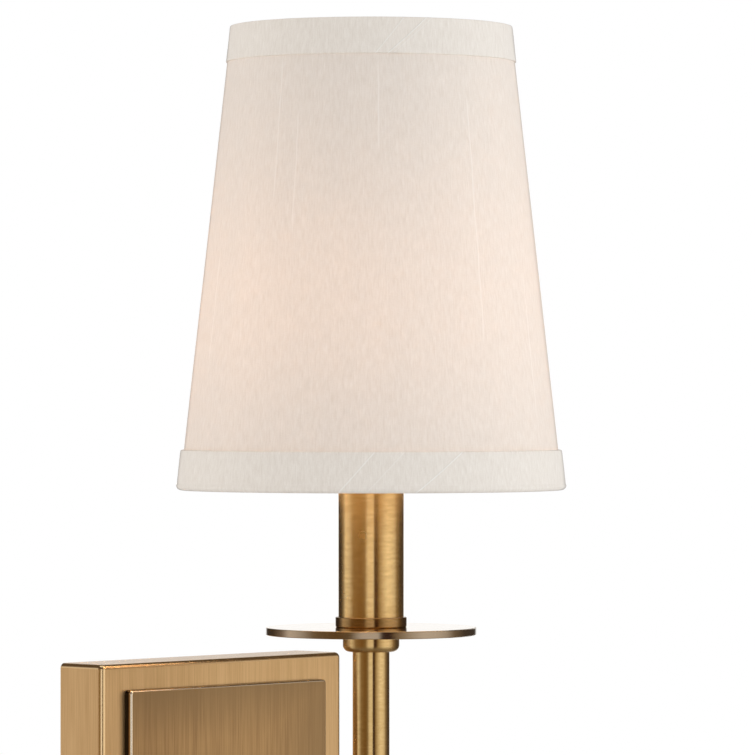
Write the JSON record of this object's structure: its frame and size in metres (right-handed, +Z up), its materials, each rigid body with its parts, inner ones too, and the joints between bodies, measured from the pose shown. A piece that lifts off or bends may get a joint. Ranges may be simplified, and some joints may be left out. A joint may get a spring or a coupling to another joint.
{
  "type": "wall light",
  "caption": "Wall light with a tapered fabric shade on a candle sleeve, a drip disc, a slim stem and a rectangular brass wall plate.",
  "frame": {"origin": "on the wall plane, at the centre of the mounting strap and its two slots", "axes": "+Z up, +Y into the wall, +X to the right of someone facing the wall; the light stands out towards -Y"},
  "size_m": [0.132, 0.155, 0.5227],
  "materials": {
    "satin_brass": "brushed and lacquered, antique tone",
    "polished_brass": "mirror polished top, brushed rim",
    "zinc_steel": "zinc plated",
    "green_screw": "green dyed",
    "phenolic": "moulded black",
    "lamp_metal": "drawn and threaded",
    "solder": "dull solder",
    "black_glass": "vitreous",
    "bulb_glass": "clear",
    "mount_glass": "clear",
    "filament": "glowing wire",
    "card": "plain card",
    "shade_wire": "cream enamel",
    "shade_liner": "matt white styrene",
    "shade_fabric": "ivory cloth, fine vertical slub",
    "binding_tape": "ivory bias tape",
    "black_insulation": "flexible sheath",
    "white_insulation": "flexible sheath",
    "green_insulation": "flexible sheath",
    "wire_nut_plastic": "moulded orange"
  },
  "bodies": {
    "root": {"mounting_strap": "zinc_steel", "mounting_studs": "zinc_steel", "stud_locknuts": "zinc_steel", "ground_screw": "green_screw", "back_plate": "satin_brass", "face_panel": "satin_brass", "arm_flange": "satin_brass", "arm_tube": "satin_brass", "arm_nipple": "zinc_steel", "arm_lock_washer": "zinc_steel", "arm_hex_nut": "zinc_steel", "ground_terminal": "zinc_steel", "hub_ball": "satin_brass", "lower_pipe": "zinc_steel", "lower_stem_tube": "satin_brass", "tail_collar": "satin_brass", "tail_disc": "satin_brass", "tail_finial": "satin_brass", "upper_pipe": "zinc_steel", "stem_tube": "satin_brass", "neck_boss": "satin_brass", "drip_disc": "polished_brass", "candle_cup": "satin_brass", "pipe_nut": "zinc_steel", "socket_bracket": "zinc_steel", "bracket_nut": "zinc_steel", "socket_screw": "zinc_steel", "socket_body": "phenolic", "socket_shell": "lamp_metal", "socket_contact": "lamp_metal", "insulating_sleeve": "card", "hot_lead": "black_insulation", "neutral_lead": "white_insulation", "ground_lead": "green_insulation", "wire_nuts": "wire_nut_plastic"},
    "candle_sleeve": {"candle_tube": "satin_brass"},
    "bulb_carrier": {"bulb_contact": "solder", "bulb_insulator": "black_glass"},
    "bulb": {"bulb_cap": "lamp_metal", "bulb_glass": "bulb_glass", "bulb_stem": "mount_glass", "bulb_filament": "filament"},
    "shade": {"shade_top_ring": "shade_wire", "shade_bottom_ring": "shade_wire", "shade_spokes": "shade_wire", "clip_collar": "shade_wire", "bulb_clip": "shade_wire", "shade_liner": "shade_liner", "shade_fabric": "shade_fabric", "top_trim": "binding_tape", "bottom_trim": "binding_tape"},
    "upper_washer": {"upper_cap_washer": "satin_brass"},
    "upper_nut": {"upper_cap_nut": "satin_brass"},
    "lower_washer": {"lower_cap_washer": "satin_brass"},
    "lower_nut": {"lower_cap_nut": "satin_brass"}
  },
  "joints": [
    {"name": "candle_sleeve_lift", "type": "slide", "parent": "root", "child": "candle_sleeve", "axis": [0, 0, 1], "range_m": [0, 0.012]},
    {"name": "bulb_rise", "type": "slide", "parent": "root", "child": "bulb_carrier", "axis": [0, 0, 1], "range_m": [0, 0.0102]},
    {"name": "bulb_turn", "type": "hinge", "parent": "bulb_carrier", "child": "bulb", "pos_m": [0, -0.089, 0.18], "axis": [0, 0, 1], "range_deg": [0, 1440]},
    {"name": "shade_lift", "type": "slide", "parent": "bulb_carrier", "child": "shade", "axis": [0, 0, 1], "range_m": [0, 0.15]},
    {"name": "upper_nut_travel", "type": "slide", "parent": "root", "child": "upper_washer", "axis": [0, -1, 0], "range_m": [0, 0.0048]},
    {"name": "upper_nut_turn", "type": "hinge", "parent": "upper_washer", "child": "upper_nut", "pos_m": [0, -0.0238, 0.03015], "axis": [0, -1, 0], "range_deg": [0, 2160]},
    {"name": "lower_nut_travel", "type": "slide", "parent": "root", "child": "lower_washer", "axis": [0, -1, 0], "range_m": [0, 0.0048]},
    {"name": "lower_nut_turn", "type": "hinge", "parent": "lower_washer", "child": "lower_nut", "pos_m": [0, -0.0238, -0.03015], "axis": [0, -1, 0], "range_deg": [0, 2160]}
  ],
  "couplings": [
    {"joint": "bulb_rise", "follows": "bulb_turn", "m_per_rad": 0.00040425},
    {"joint": "upper_nut_travel", "follows": "upper_nut_turn", "m_per_rad": 0.00012637},
    {"joint": "lower_nut_travel", "follows": "lower_nut_turn", "m_per_rad": 0.00012637}
  ]
}
